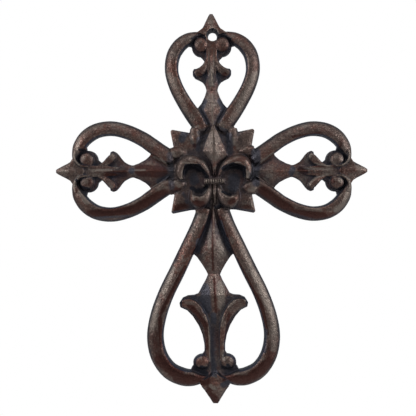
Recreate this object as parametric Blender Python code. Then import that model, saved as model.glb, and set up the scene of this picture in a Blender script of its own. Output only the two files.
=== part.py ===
"""Cast iron wall cross: heart-shaped loops round a square plate with a fleur-de-lis, one flat-backed casting.

The casting is drawn lying on its back, +X across, +Y up the cross and +Z out of its face, and stood up at
the end. Standing, +Z is up, the face looks along -Y and the back lies in the plane Y = 0, with the origin
behind the plate's middle.
"""

from collections import namedtuple
from math import radians

import bmesh
import bpy
from mathutils import Matrix, Vector

# Overall height and width, and the lengths from the plate's middle
HEIGHT = 0.2540
WIDTH = 0.2032
HEAD_ARM = 0.1026
LEFT_ARM = 0.1024
PLATE_HALF = 0.0272
FLEUR_HEIGHT = 0.0545
FLEUR_ASIDE = 0.0008

# Widths
BAND_HALF = 0.0046
FOOT_BAND_HALF = 0.0051
FIN_HALF = 0.0025
FOOT_FIN_HALF = 0.0027
KNOB_HALF = 0.0044
PETAL_HALF = 0.0028
STALK_HALF = 0.0014
COLLAR_WIDTH = 0.0128
COLLAR_HEIGHT = 0.0036

# Levels of the crowns and ridges, measured from the back
WEB_TOP = 0.0034
EYE_WEB_TOP = 1.09 * WEB_TOP
EYE_MIDDLE = 0.88 * WEB_TOP
PLATE_TOP = 0.0046
LEAF_EDGE = 0.0040
LEAF_TOP = 0.0074
FIN_TOP = 0.0068
BAND_TOP = 0.0080
EYE_TOP = 0.0078
FINIAL_TOP = 0.0080
CORNER_TOP = 0.0072
KNOB_TOP = 0.0086
SPEAR_EDGE = 0.0080
SPEAR_TOP = 0.0125
PETAL_TOP = 0.0130
STALK_TOP = 0.0105
COLLAR_TOP = 0.0140

# Nail hole through the head arm, wider at the face than at the back
NAIL_HOLE_BACK_RADIUS = 0.0030
NAIL_HOLE_FACE_RADIUS = 0.0039
NAIL_HOLE_BELOW_TIP = 0.0136
NAIL_HOLE_ASIDE = 0.0008

SINK = 0.0020  # how far every form runs past the back before the back is cut flat
STEPS = 2  # lengths to each stretch of a bar's path
EYE_SIDES = 12
HOLE_SIDES = 20
LOWERING = 0.35  # how fast a bar's crown comes down as the bar narrows
WEB_DRAFT = 0.94

IRON_COLOUR = (0.062, 0.040, 0.032, 1.0)
IRON_ROUGHNESS = 0.48
IRON_METALLIC = 0.55

# The carving keeps its proportions. An arm's places are in hundredths of its length from the plate's middle.
# Paths hold (across, out, share of the width), half outlines (across, out) and ridges three places out.
Arm = namedtuple("Arm", [
    "band_half", "fin_half", "band", "fin", "eye", "eye_radius", "web", "web_radius", "inner", "inner_ridge",
    "outer", "outer_ridge", "spine", "finial",
])

SHORT = Arm(
    band_half=BAND_HALF,
    fin_half=FIN_HALF,
    band=(
        (6.6, 22.0, 0.96), (12.0, 31.8, 1.06), (19.2, 42.8, 1.04), (24.4, 53.2, 1.0), (26.8, 64.0, 1.0),
        (25.6, 73.6, 1.0), (21.4, 80.4, 1.0), (15.0, 84.6, 0.98), (8.4, 86.6, 0.70), (4.4, 86.3, 0.52),
        (2.2, 83.8, 0.46), (1.8, 80.0, 0.44), (2.0, 76.4, 0.42),
    ),
    fin=((1.9, 78.0, 0.55), (2.4, 72.0, 0.76), (4.6, 66.4, 1.04), (8.3, 63.0, 1.10), (11.2, 62.8, 0.40)),
    eye=(6.7, 79.4),
    eye_radius=4.6,
    web=(7.0, 79.9),
    web_radius=6.3,
    inner=((0, 24.0), (8.4, 39.6), (3.3, 51.6)),
    inner_ridge=(26.0, 40.4, 50.8),
    outer=((2.6, 51.2), (3.4, 58.4), (0.5, 76.0)),
    outer_ridge=(52.4, 58.4, 74.0),
    spine=(
        (0, 18.0), (4.6, 20.0), (10.8, 39.8), (9.4, 40.6), (7.2, 43.0), (4.9, 47.4), (3.5, 51.3), (3.5, 52.8),
        (4.5, 55.2), (6.8, 57.3), (9.7, 58.5), (12.1, 60.6), (12.6, 63.0), (11.8, 65.0), (9.3, 65.7),
        (6.8, 67.3), (5.1, 69.7), (5.1, 71.8), (7.0, 73.2), (10.0, 80.0), (9.0, 88.0), (0, 92.0),
    ),
    finial=((0, 84.0), (7.4, 89.8), (1.1, 100.0)),
)

FOOT = Arm(
    band_half=FOOT_BAND_HALF,
    fin_half=FOOT_FIN_HALF,
    band=(
        (2.6, 13.0, 0.80), (6.3, 23.4, 0.86), (11.0, 33.2, 0.96), (15.8, 43.0, 1.02), (20.5, 52.8, 1.02),
        (24.0, 62.4, 1.04), (25.3, 71.4, 1.04), (23.8, 79.8, 1.06), (19.6, 86.0, 1.08), (14.2, 88.8, 1.10),
        (9.0, 89.3, 1.04), (5.2, 88.8, 0.74), (2.8, 86.6, 0.50), (1.9, 83.4, 0.42), (2.3, 80.2, 0.40),
    ),
    fin=(
        (2.4, 80.5, 0.62), (2.7, 72.6, 0.76), (4.0, 66.0, 0.94), (6.6, 60.8, 1.12), (10.4, 57.2, 1.20),
        (13.8, 56.9, 0.50),
    ),
    eye=(5.8, 81.7),
    eye_radius=2.9,
    web=(5.9, 82.8),
    web_radius=3.4,
    inner=((0, 15.0), (7.0, 36.6), (2.7, 44.6)),
    inner_ridge=(18.0, 35.4, 44.0),
    outer=((2.7, 44.6), (6.6, 52.8), (0.5, 65.0)),
    outer_ridge=(45.4, 53.8, 63.0),
    spine=(
        (0, 13.0), (3.2, 16.0), (8.6, 35.6), (7.2, 36.8), (2.8, 44.4), (2.8, 45.4), (6.8, 52.8), (8.6, 53.5),
        (11.2, 53.7), (13.6, 54.9), (14.9, 57.2), (14.2, 58.7), (11.4, 60.0), (7.9, 63.8), (6.0, 67.8),
        (4.9, 71.4), (4.4, 74.8), (4.5, 77.8), (5.0, 80.0), (6.0, 88.0), (0, 91.0),
    ),
    finial=((0, 86.0), (5.9, 92.4), (1.1, 100.0)),
)

# Each arm: its name, length, turn from upright, form, and how far its left and its right side spread.
# The side arms lean a little, as the moulding left them.
ARMS = (
    ("head", HEAD_ARM, 0, SHORT, (0.98, 0.98)),
    ("left", LEFT_ARM, 89.4, SHORT, (1.03, 1.03)),
    ("right", WIDTH - LEFT_ARM, -90.4, SHORT, (1.03, 1.04)),
    ("foot", HEIGHT - HEAD_ARM, 180, FOOT, (0.98, 1.02)),
)

# The fleur-de-lis, in hundredths of its own height from the plate's middle
UPPER_PETAL = (
    (2.8, -8.0, 0.30), (7.0, 1.0, 0.50), (14.0, 9.0, 0.80), (22.5, 13.0, 1.06), (31.5, 12.2, 1.16),
    (38.4, 6.4, 1.06), (40.4, -2.0, 0.84), (37.8, -9.5, 0.40),
)
LOWER_PETAL = (
    (2.4, -16.5, 0.36), (5.2, -25.0, 0.54), (9.8, -32.4, 0.84), (16.6, -36.6, 1.12), (23.4, -35.2, 1.12),
    (26.4, -28.8, 0.80), (25.4, -22.4, 0.36),
)
STALK = ((0, -12.0, 0.70), (0, -26.0, 1.0), (0, -38.0, 0.40))
SPEAR = ((0.8, -3.0), (14.0, 21.5), (0.3, 55.4))
SPEAR_RIDGE = (1.0, 21.5, 53.0)
COLLAR_UP = -12.0

# The plate, in hundredths of its half width: its outline from the middle of a side to the corner,
# the leaf on each corner and the knob where each band comes in
PLATE_CORNER = ((0, 90.0), (55.0, 93.0), (97.0, 101.0))
CORNER_LEAF = ((36.0, 36.0), (44.0, 84.0), (97.0, 97.0), (84.0, 44.0))
CORNER_RIDGE = (44.0, 66.0, 93.0)
KNOB = ((43.0, 92.0, 0.80), (43.0, 78.0, 0.92), (39.0, 62.0, 0.36))

BAR_SECTION = ((-1.0, 0.0), (-0.94, 0.50), (-0.60, 0.89), (0.0, 1.0), (0.60, 0.89), (0.94, 0.50), (1.0, 0.0))


def clear_scene():
    for obj in list(bpy.data.objects):
        bpy.data.objects.remove(obj)


def new_collection(name):
    collection = bpy.data.collections.new(name)
    bpy.context.scene.collection.children.link(collection)
    return collection


def iron():
    material = bpy.data.materials.new("cast_iron")
    material.use_nodes = True
    shader = material.node_tree.nodes["Principled BSDF"]
    shader.inputs["Base Color"].default_value = IRON_COLOUR
    shader.inputs["Roughness"].default_value = IRON_ROUGHNESS
    shader.inputs["Metallic"].default_value = IRON_METALLIC
    return material


def as_object(name, shape, collection):
    """An object made of the bmesh, which is used up."""
    shape.normal_update()
    bmesh.ops.recalc_face_normals(shape, faces=shape.faces)
    mesh = bpy.data.meshes.new(name)
    shape.to_mesh(mesh)
    shape.free()
    obj = bpy.data.objects.new(name, mesh)
    collection.objects.link(obj)
    return obj


def smooth(points):
    """A curve through the points, with STEPS lengths between each two."""
    ends = [points[0], *points, points[-1]]
    path = []
    for before, start, end, after in zip(ends, ends[1:], ends[2:], ends[3:]):
        for step in range(STEPS):
            t = step / STEPS
            path.append([
                b + t * ((c - a) + t * ((2 * a - 5 * b + 4 * c - d) + t * (3 * b - a - 3 * c + d))) / 2
                for a, b, c, d in zip(before, start, end, after)
            ])
    return path + [list(points[-1])]


def bar(name, points, scale, half, top, collection):
    """A rounded bar with drafted sides, lofted along the points because its width changes on the way."""
    path = smooth(points)
    shape = bmesh.new()
    rings = []
    for index, (across, out, share) in enumerate(path):
        before = path[max(index - 1, 0)]
        after = path[min(index + 1, len(path) - 1)]
        ahead = Vector((after[0] - before[0], after[1] - before[1])).normalized()
        aside = Vector((ahead.y, -ahead.x, 0)) * half * share
        foot = Vector((across * scale, out * scale, -SINK))
        rise = SINK + top * share ** LOWERING
        rings.append([shape.verts.new(foot + aside * u + Vector((0, 0, rise * v))) for u, v in BAR_SECTION])
    for ring, following in zip(rings, rings[1:]):
        for corner in range(len(ring)):
            shape.faces.new((ring[corner - 1], ring[corner], following[corner], following[corner - 1]))
    shape.faces.new(rings[0])
    shape.faces.new(rings[-1])
    return as_object(name, shape, collection)


def leaf(name, rim, edge, ridge, top, collection):
    """A faceted leaf: an upright rim as high as edge, and a ridge of three points with its middle at top."""
    shape = bmesh.new()
    for x, y in rim:
        shape.verts.new((x, y, -SINK))
        shape.verts.new((x, y, edge))
    low = (edge + top) / 2
    for (x, y), level in zip(ridge, (low, top, low)):
        shape.verts.new((x, y, level))
    hull = bmesh.ops.convex_hull(shape, input=shape.verts)
    inside = set(hull["geom_interior"] + hull["geom_unused"])
    spare = [geometry for geometry in inside if isinstance(geometry, bmesh.types.BMVert)]
    bmesh.ops.delete(shape, geom=spare, context="VERTS")
    return as_object(name, shape, collection)


def middle_leaf(name, half_rim, ridge_places, scale, edge, top, collection):
    """A leaf that is the same on both sides of the middle line."""
    right = [(x * scale, y * scale) for x, y in half_rim]
    rim = right + [(-x, y) for x, y in right if x > 0]
    ridge = [(0, y * scale) for y in ridge_places]
    return leaf(name, rim, edge, ridge, top, collection)


def slab(name, outline, top, collection):
    """A flat slab of that outline, up to top."""
    data = bpy.data.curves.new(name, "CURVE")
    data.dimensions = "2D"
    data.fill_mode = "BOTH"
    data.extrude = (top + SINK) / 2
    spline = data.splines.new("POLY")
    spline.points.add(len(outline) - 1)
    for point, (x, y) in zip(spline.points, outline):
        point.co = (x, y, 0, 1)
    spline.use_cyclic_u = True
    curve = bpy.data.objects.new(name, data)
    collection.objects.link(curve)
    bpy.context.view_layer.update()
    mesh = bpy.data.meshes.new_from_object(curve.evaluated_get(bpy.context.evaluated_depsgraph_get()))
    bpy.data.objects.remove(curve)
    mesh.transform(Matrix.Translation((0, 0, (top - SINK) / 2)))
    shape = bmesh.new()
    shape.from_mesh(mesh)
    bpy.data.meshes.remove(mesh)
    bmesh.ops.remove_doubles(shape, verts=shape.verts, dist=1e-6)
    return as_object(name, shape, collection)


def post(name, centre, radii, top, sides, collection):
    """A round post up to top, whose radii are those at its foot and its top."""
    shape = bmesh.new()
    bmesh.ops.create_cone(
        shape, cap_ends=True, segments=sides, radius1=radii[0], radius2=radii[1], depth=top + SINK,
        matrix=Matrix.Translation((centre[0], centre[1], (top - SINK) / 2)),
    )
    return as_object(name, shape, collection)


def eye(name, centre, radius, collection):
    """The ball in the eye of a curl, half sunk in the web behind it."""
    shape = bmesh.new()
    size = Matrix.Diagonal((radius, radius, EYE_TOP - EYE_MIDDLE, 1))
    place = Matrix.Translation((centre[0], centre[1], EYE_MIDDLE)) @ size
    bmesh.ops.create_uvsphere(shape, u_segments=EYE_SIDES, v_segments=EYE_SIDES // 2, radius=1, matrix=place)
    return as_object(name, shape, collection)


def mirrored(pieces, collection):
    """The pieces and their mirror images across the middle line."""
    images = []
    for piece in pieces:
        shape = bmesh.new()
        shape.from_mesh(piece.data)
        shape.transform(Matrix.Diagonal((-1, 1, 1, 1)))
        images.append(as_object(piece.name + "_image", shape, collection))
    return pieces + images


def spread(pieces, shares):
    """The pieces with what lies left and right of the middle line widened, each by its own share."""
    for piece in pieces:
        for vertex in piece.data.vertices:
            vertex.co.x *= shares[vertex.co.x > 0]
    return pieces


def turned(pieces, turn):
    for piece in pieces:
        piece.data.transform(Matrix.Rotation(radians(turn), 4, "Z"))
    return pieces


def looped_arm(name, length, turn, arm, shares, collection):
    """One arm, drawn upright and turned to its side of the plate."""
    scale = length / 100
    eye_place = [place * scale for place in arm.eye]
    web_place = [place * scale for place in arm.web]
    web_radii = (arm.web_radius * scale, arm.web_radius * scale * WEB_DRAFT)
    sides = [
        bar(name + "_band", arm.band, scale, arm.band_half, BAND_TOP, collection),
        bar(name + "_fin", arm.fin, scale, arm.fin_half, FIN_TOP, collection),
        eye(name + "_eye", eye_place, arm.eye_radius * scale, collection),
        post(name + "_web", web_place, web_radii, EYE_WEB_TOP, EYE_SIDES, collection),
    ]
    half_spine = [(x * scale, y * scale) for x, y in arm.spine]
    spine = half_spine + [(-x, y) for x, y in reversed(half_spine) if x > 0]
    finial_ridge = (arm.finial[0][1] + 2, arm.finial[1][1], arm.finial[2][1] - 1)
    middle = [
        middle_leaf(name + "_inner", arm.inner, arm.inner_ridge, scale, LEAF_EDGE, LEAF_TOP, collection),
        middle_leaf(name + "_outer", arm.outer, arm.outer_ridge, scale, LEAF_EDGE, LEAF_TOP, collection),
        middle_leaf(name + "_finial", arm.finial, finial_ridge, scale, LEAF_EDGE, FINIAL_TOP, collection),
        slab(name + "_spine", spine, WEB_TOP, collection),
    ]
    return turned(spread(mirrored(sides, collection) + middle, shares), turn)


def plate(collection):
    """The square plate, with a leaf on each corner and a knob where each band comes in."""
    scale = PLATE_HALF / 100
    half_corner = [(x * scale, y * scale) for x, y in PLATE_CORNER]
    corner = half_corner + [(y, x) for x, y in reversed(half_corner[1:])]
    outline = []
    for turn in range(0, 360, 90):
        outline += [Matrix.Rotation(radians(-turn), 2) @ Vector(point) for point in corner]
    pieces = [slab("plate", outline, PLATE_TOP, collection)]
    rim = [(x * scale, y * scale) for x, y in CORNER_LEAF]
    ridge = [(along * scale, along * scale) for along in CORNER_RIDGE]
    for turn in range(0, 360, 90):
        corner = leaf("corner", rim, LEAF_EDGE, ridge, CORNER_TOP, collection)
        knobs = mirrored([bar("knob", KNOB, scale, KNOB_HALF, KNOB_TOP, collection)], collection)
        pieces += turned([corner, *knobs], turn)
    return pieces


def fleur_de_lis(collection):
    """The spear, two pairs of curling petals and a stalk, tied by the collar."""
    scale = FLEUR_HEIGHT / 100
    petals = [
        bar("upper_petal", UPPER_PETAL, scale, PETAL_HALF, PETAL_TOP, collection),
        bar("lower_petal", LOWER_PETAL, scale, PETAL_HALF, PETAL_TOP, collection),
    ]
    width, height = COLLAR_WIDTH / 2, COLLAR_HEIGHT / 2
    middle = COLLAR_UP * scale
    ends = [(side * width, middle + up * height) for side in (-1, 1) for up in (-1, 1)]
    ridge = [(side * width / 2, middle) for side in (-1, 0, 1)]
    pieces = mirrored(petals, collection) + [
        middle_leaf("spear", SPEAR, SPEAR_RIDGE, scale, SPEAR_EDGE, SPEAR_TOP, collection),
        bar("stalk", STALK, scale, STALK_HALF, STALK_TOP, collection),
        leaf("collar", ends, SPEAR_TOP, ridge, COLLAR_TOP, collection),
    ]
    for piece in pieces:
        piece.data.transform(Matrix.Translation((FLEUR_ASIDE, 0, 0)))
    return pieces


def boolean(obj, operation, cutter):
    """A Boolean on the object, by a cutter or by every form in a collection."""
    modifier = obj.modifiers.new(operation.lower(), "BOOLEAN")
    modifier.operation = operation
    modifier.solver = "EXACT"
    if isinstance(cutter, bpy.types.Collection):
        modifier.operand_type = "COLLECTION"
        modifier.collection = cutter
    else:
        modifier.object = cutter


def behind_the_back(collection):
    """A block that fills all that lies behind the back."""
    shape = bmesh.new()
    span = 4 * HEIGHT
    place = Matrix.Translation((0, 0, -span / 2)) @ Matrix.Diagonal((span, span, span, 1))
    bmesh.ops.create_cube(shape, size=1, matrix=place)
    return as_object("behind_the_back", shape, collection)


def nail_hole(collection):
    """The tapering nail hole, run past the back and the face."""
    taper = (NAIL_HOLE_FACE_RADIUS - NAIL_HOLE_BACK_RADIUS) / FINIAL_TOP
    radii = (NAIL_HOLE_BACK_RADIUS - taper * SINK, NAIL_HOLE_FACE_RADIUS + taper * SINK)
    place = (NAIL_HOLE_ASIDE, HEAD_ARM - NAIL_HOLE_BELOW_TIP)
    return post("nail_hole", place, radii, FINIAL_TOP + SINK, HOLE_SIDES, collection)


def build():
    clear_scene()
    cross_collection = new_collection("wall_cross")
    forms = new_collection("forms")
    cutters = new_collection("cutters")

    # The plate is joined by all the other forms, and then cut flat behind and holed
    cross, *leaves = plate(forms)
    pieces = leaves + fleur_de_lis(forms)
    for arm in ARMS:
        pieces += looped_arm(*arm, forms)
    cross.name = "cross"
    forms.objects.unlink(cross)
    cross_collection.objects.link(cross)
    cross.data.materials.append(iron())
    boolean(cross, "UNION", forms)
    for cutter in (behind_the_back(cutters), nail_hole(cutters)):
        boolean(cross, "DIFFERENCE", cutter)
        pieces.append(cutter)

    stood_up = bpy.data.objects.new("stood_up", None)
    bpy.context.scene.collection.objects.link(stood_up)
    stood_up.rotation_euler = (radians(90), 0, 0)
    cross.parent = stood_up
    for piece in pieces:
        piece.parent = stood_up
        piece.hide_render = True
        piece.display_type = "WIRE"


build()
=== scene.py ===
"""Looks of the cast iron wall cross: the carving at full detail, a sand-cast skin and a worn brown patina
with painted shade and highlights.

The casting is drawn lying on its back, +X across, +Y up the cross and +Z out of its face, and stood up
at the end. Standing, +Z is up and the face looks along -Y. Sizes are in metres where no comment says more.
"""
from collections import namedtuple
from math import atan, cos, pi, radians, sin

import bmesh
import bpy
import numpy as np
from mathutils import Matrix, Vector, noise


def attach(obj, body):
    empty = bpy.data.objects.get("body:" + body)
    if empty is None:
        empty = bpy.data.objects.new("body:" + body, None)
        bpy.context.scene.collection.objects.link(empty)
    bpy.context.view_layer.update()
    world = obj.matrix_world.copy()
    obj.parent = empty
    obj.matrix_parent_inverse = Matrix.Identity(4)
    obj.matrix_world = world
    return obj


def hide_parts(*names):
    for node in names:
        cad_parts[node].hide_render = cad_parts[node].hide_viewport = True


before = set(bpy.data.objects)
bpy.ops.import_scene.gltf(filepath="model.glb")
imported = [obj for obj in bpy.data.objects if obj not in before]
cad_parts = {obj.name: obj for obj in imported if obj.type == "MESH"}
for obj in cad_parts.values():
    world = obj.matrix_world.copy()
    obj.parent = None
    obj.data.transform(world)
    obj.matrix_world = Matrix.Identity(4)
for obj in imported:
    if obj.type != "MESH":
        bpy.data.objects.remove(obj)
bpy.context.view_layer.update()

# Overall sizes, as in the solid
HEIGHT = 0.2540
WIDTH = 0.2032
HEAD_ARM = 0.1026
LEFT_ARM = 0.1024
PLATE_HALF = 0.0272
FLEUR_HEIGHT = 0.0545
FLEUR_ASIDE = 0.0008

# Half widths
BAND_HALF = 0.0046
FOOT_BAND_HALF = 0.0050
FIN_HALF = 0.0025
FOOT_FIN_HALF = 0.0027
RIB_HALF = 0.0011
NECK_HALF = 0.0034
BEAD_HALF = 0.0004
CURL_HALF = 0.0007
KNOB_HALF = 0.0041
PETAL_HALF = 0.0034
STALK_HALF = 0.0018
CORNER_HALF = 0.0100
CORNER_WEB_RADIUS = 0.0042

# How bars are shaped across: heights of the left and the right side as shares of the crest, how far the
# crest leans as a share of the half width, and how full the curve is on each side
BAND_EDGES = (0.62, 0.44)
BAND_LEAN = -0.42
BAND_BULGES = (2.2, 1.75)
FIN_EDGES = (0.55, 0.55)
BEAD_EDGES = (0.8, 0.8)
CURL_EDGES = (0.84, 0.84)
NECK_EDGES = (0.95, 0.95)
PETAL_EDGES = (0.50, 0.62)
PETAL_LEAN = 0.45
COLLAR_EDGES = (0.86, 0.86)
CORNER_EDGES = (0.72, 0.72)
KNOB_EDGES = (0.6, 0.6)
INNER_HOLLOW = 1.5
OUTER_HOLLOW = 1.2

# Levels of crowns and ridges above the back
WEB_TOP = 0.0050
PLATE_TOP = 0.0052
CUSHION_TOP = 0.0068
LEAF_EDGE = 0.0050
LEAF_TOP = 0.0092
FIN_TOP = 0.0074
RIB_TOP = 0.0074
BRIDGE_TOP = 0.0074
BAND_TOP = 0.0086
BEAD_TOP = 0.0074
CURL_TOP = 0.0087
EYE_TOP = 0.0082
EYE_EDGE = 0.58 * EYE_TOP
FINIAL_TOP = 0.0086
FINIAL_EDGE = 0.7 * FINIAL_TOP
CORNER_TOP = 0.0066
KNOB_TOP = 0.0086
SPEAR_EDGE = 0.0084
SPEAR_TOP = 0.0122
PETAL_TOP = 0.0130
STALK_TOP = 0.0100
COLLAR_TOP = 0.0128
STROKE_TOP = 0.0140

# The row of strokes on the tie
STROKES = 8
STROKE_ROW = 0.0106
STROKE_HALF_HEIGHT = 0.00140
STROKE_HALF_WIDTH = 0.00048
STROKE_RISE = 0.0012
STROKE_SEED = 4
STROKE_OPENNESS = 0.9
STROKE_PROUD = 2.2

# Nail hole
HOLE_BACK_RADIUS = 0.0027
HOLE_FACE_RADIUS = 0.0040
HOLE_BELOW_TIP = 0.0141
HOLE_ASIDE = 0.0008

# The skin, with the blurs in cells and the openness from 0, shut in, to 1, wide open
VOXEL = 0.00034
MOST_TRIANGLES = 190000
CELL = 0.0005
MARGIN = 0.026
SIGHT_LINES = 16
SIGHT_REACHES = (0.0008, 0.0016, 0.0024, 0.0034, 0.0048, 0.0066, 0.009, 0.012, 0.016, 0.021)
ROUNDING_PASSES = 1
FINE_BLUR = 2.4
WALL_BLUR = 2.8
BROAD_BLUR = 8
BACK_OPENNESS = 0.85
# The nail hole's walls count as fully shut in, so they take full painted shade
HOLE_OPENNESS = -1.0
TIE_OPENNESS = 0.58
TIE_HALF_WIDTH = 0.0064
TIE_HALF_HEIGHT = 0.0016
SAND_DEPTH = 0.00006
SAND_SIZE = 0.0022
SAND_FROM = 0.0004
BACK_LEVEL = 0.00012

# The patina, with painted shade, painted shadow and painted highlights among its colours
BROWN = (0.060, 0.041, 0.035, 1)
RED_BROWN = (0.066, 0.029, 0.022, 1)
DARK_BROWN = (0.022, 0.016, 0.016, 1)
RUBBED = (0.178, 0.146, 0.126, 1)
GREY_TAN = (0.095, 0.078, 0.068, 1)
# Painted highlights, in part rubbed wear, laid in strokes
HIGHLIGHT_AND_WEAR_TAN = (0.114, 0.096, 0.084, 1)
# Rust red, and painted shade on downward faces, laid in strokes
RUST_AND_SHADE_RED = (0.030, 0.010, 0.008, 1)
# Painted shade in blue-grey, laid in strokes
SHADE_BLUE_GREY = (0.034, 0.035, 0.045, 1)
# Painted shade, with patina, on the loops' inner walls
WALL_SHADE_BLUE = (0.022, 0.022, 0.048, 1)
# Painted deep shadow, laid in strokes
DEEP_SHADE_BLACK = (0.009, 0.009, 0.013, 1)
# Painted shade, with patina, in the recesses and low-lying places
SHADE_AND_PATINA_BLUE_BLACK = (0.015, 0.017, 0.025, 1)
METALLIC = 0.6
DARK_METALLIC = 0.80
SPECULAR = 0.28

# Sizes of the patina's blotches, from the broadest to the finest
BROAD_SIZE = 0.016
GREY_SIZE = 0.009
BLOTCH_SIZE = 0.0055
MOTTLE_SIZE = 0.0024
SPECK_SIZE = 0.0012
GRAIN_DEPTH = 0.0005

# The view, and the room: each soft box with its place, size, power and colour, how strongly the room glows
# in front of the cross and behind it, and what share of that from below
CAMERA_PLACE = (-0.00349, -0.484, -0.02396)
CAMERA_ROLL = -0.7
HALF_VIEW = 136.15 / 480
SOFT_BOXES = (
    ("left_box", (-0.84, -0.42, 0.26), (0.22, 0.5), 8.2, (1.0, 0.98, 0.96)),
    ("right_box", (0.84, -0.44, 0.20), (0.22, 0.6), 9.4, (1.0, 0.98, 0.96)),
    ("top_box", (0.0, -0.50, 0.80), (0.8, 0.3), 4.0, (1.0, 0.99, 0.98)),
)
FRONT_GLOW = 0.25
BACK_GLOW = 0.60
FLOOR_SHARE = 0.5
FLOOR_RADIUS = 0.6
FLOOR_LEVEL = -0.36

# An arm's places are in millimetres on an upright arm of the length given first. Its right half stands for
# both, and each place of a bar also has the share of the half width there.
Arm = namedtuple("Arm", [
    "drawn_length", "band_half", "fin_half", "band", "fin", "fin_lean", "neck", "neck_top", "rib", "bead",
    "curl", "eye", "eye_radius", "web", "web_radius", "corner", "bridge", "inner", "inner_ridge", "outer",
    "outer_ridge", "spine", "root", "finial", "finial_ridge",
])

SHORT = Arm(
    drawn_length=102.6,
    band_half=BAND_HALF,
    fin_half=FIN_HALF,
    band=(
        (6.0, 26.0, 0.60), (7.8, 28.6, 1.02), (10.4, 33.0, 1.14), (14.4, 38.6, 1.12), (19.2, 45.9, 1.06),
        (24.4, 55.6, 1.02), (27.3, 65.7, 1.0), (26.3, 75.5, 1.0), (22.0, 82.5, 0.98), (16.2, 86.8, 0.86),
        (11.6, 89.0, 0.58), (8.4, 89.8, 0.38), (5.9, 89.6, 0.29), (4.1, 88.1, 0.25), (3.2, 85.6, 0.22),
        (3.0, 82.8, 0.20), (3.0, 79.6, 0.18),
    ),
    fin=(
        (2.5, 81.0, 0.36), (2.6, 75.0, 0.48), (3.9, 69.6, 0.82), (6.6, 65.8, 1.18), (9.6, 64.2, 1.26),
        (12.0, 64.6, 0.74),
    ),
    fin_lean=-0.35,
    neck=((0, 60.0, 0.7), (0, 68.0, 0.9), (0, 76.0, 1.0), (0, 86.0, 1.2)),
    neck_top=0.0068,
    rib=((0.2, 60.0, 0.5), (0.2, 66.0, 1.0), (0.2, 74.0, 1.0), (0.2, 79.5, 0.5)),
    bead=((3.4, 28.6, 0.6), (6.6, 33.2, 1.0), (10.2, 38.2, 0.8)),
    curl=(),
    eye=(7.1, 82.6),
    eye_radius=5.1,
    web=(6.9, 81.7),
    web_radius=6.5,
    corner=(13.6, 86.2),
    bridge=(
        (0, 84.0), (3.0, 85.0), (4.2, 88.6), (7.5, 89.8), (11.0, 89.8), (8.6, 91.2), (6.3, 92.8),
        (0, 96.0),
    ),
    inner=(
        (1.2, 21.0), (3.0, 24.6), (5.4, 29.4), (8.2, 34.4), (11.0, 39.6), (9.5, 41.4), (7.3, 44.0),
        (5.0, 48.4), (3.7, 52.2), (3.6, 53.6),
    ),
    inner_ridge=((21.0, 0.0), (39.6, 1.0), (53.6, 0.30)),
    outer=((3.4, 52.6), (3.9, 58.6), (3.0, 62.0), (0.6, 68.0)),
    outer_ridge=((52.6, 0.40), (58.6, 0.95), (63.0, 0.7), (68.0, 0.2)),
    spine=(
        (0, 18.5), (4.7, 20.5), (11.1, 40.6), (9.6, 41.6), (7.4, 44.1), (5.1, 48.5), (3.8, 52.3),
        (3.8, 53.8), (4.5, 56.2), (6.1, 58.5), (8.6, 59.9), (11.3, 61.1), (12.9, 63.2), (12.9, 65.6),
        (12.0, 67.0), (9.6, 67.2), (7.2, 68.0), (5.4, 69.8), (4.8, 71.6), (5.2, 73.0), (7.2, 75.1),
        (10.3, 82.1), (9.2, 90.3), (0, 94.4),
    ),
    root=((0, 18.0), (13.5, 20.0), (14.9, 27.6), (13.0, 33.0), (9.6, 36.8), (0, 36.8)),
    finial=(
        (0.6, 84.0), (1.4, 87.4), (3.4, 90.0), (7.6, 91.4), (6.1, 93.1), (4.8, 95.3), (3.4, 98.2),
        (2.0, 100.9), (0.9, 102.6),
    ),
    finial_ridge=((84.0, -1.0), (90.0, 0.9), (94.0, 1.0), (98.0, 0.6), (102.6, -0.1)),
)

SIDE = SHORT._replace(
    band=(
        (6.4, 26.0, 0.60), (9.4, 29.0, 0.98), (13.2, 35.0, 1.06), (17.0, 40.6, 1.06), (20.6, 46.0, 1.03),
        (25.0, 55.5, 1.0), (27.4, 65.7, 1.0), (26.3, 75.5, 1.0), (22.2, 82.8, 1.0), (16.4, 87.6, 0.88),
        (11.8, 89.8, 0.62), (8.4, 90.6, 0.40), (5.9, 90.2, 0.29), (4.1, 88.5, 0.25), (3.2, 85.8, 0.22),
        (3.0, 82.8, 0.20), (3.0, 79.6, 0.18),
    ),
    corner=(13.6, 86.8),
    curl=(
        (13.4, 89.8, 0.8), (10.2, 90.3, 1.0), (7.2, 89.8, 1.0), (4.6, 87.8, 1.0), (3.2, 84.8, 0.9),
        (3.0, 81.4, 0.7),
    ),
    fin=(
        (2.5, 81.0, 0.36), (2.7, 76.0, 0.50), (4.2, 71.4, 0.80), (6.6, 68.0, 1.06), (9.2, 65.6, 1.06),
        (12.0, 65.4, 0.50),
    ),
    spine=(
        (0, 18.5), (4.7, 20.5), (11.1, 40.6), (9.6, 41.6), (7.4, 44.1), (5.1, 48.5), (3.8, 52.3),
        (3.9, 53.6), (4.7, 55.6), (6.2, 58.2), (8.2, 60.0), (10.4, 61.6), (12.2, 63.4), (13.0, 65.4),
        (12.3, 67.0), (10.2, 67.5), (8.2, 68.4), (6.3, 69.9), (5.3, 71.6), (5.5, 73.0), (7.2, 75.1),
        (10.3, 82.1), (9.2, 90.3), (0, 94.4),
    ),
)

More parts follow.
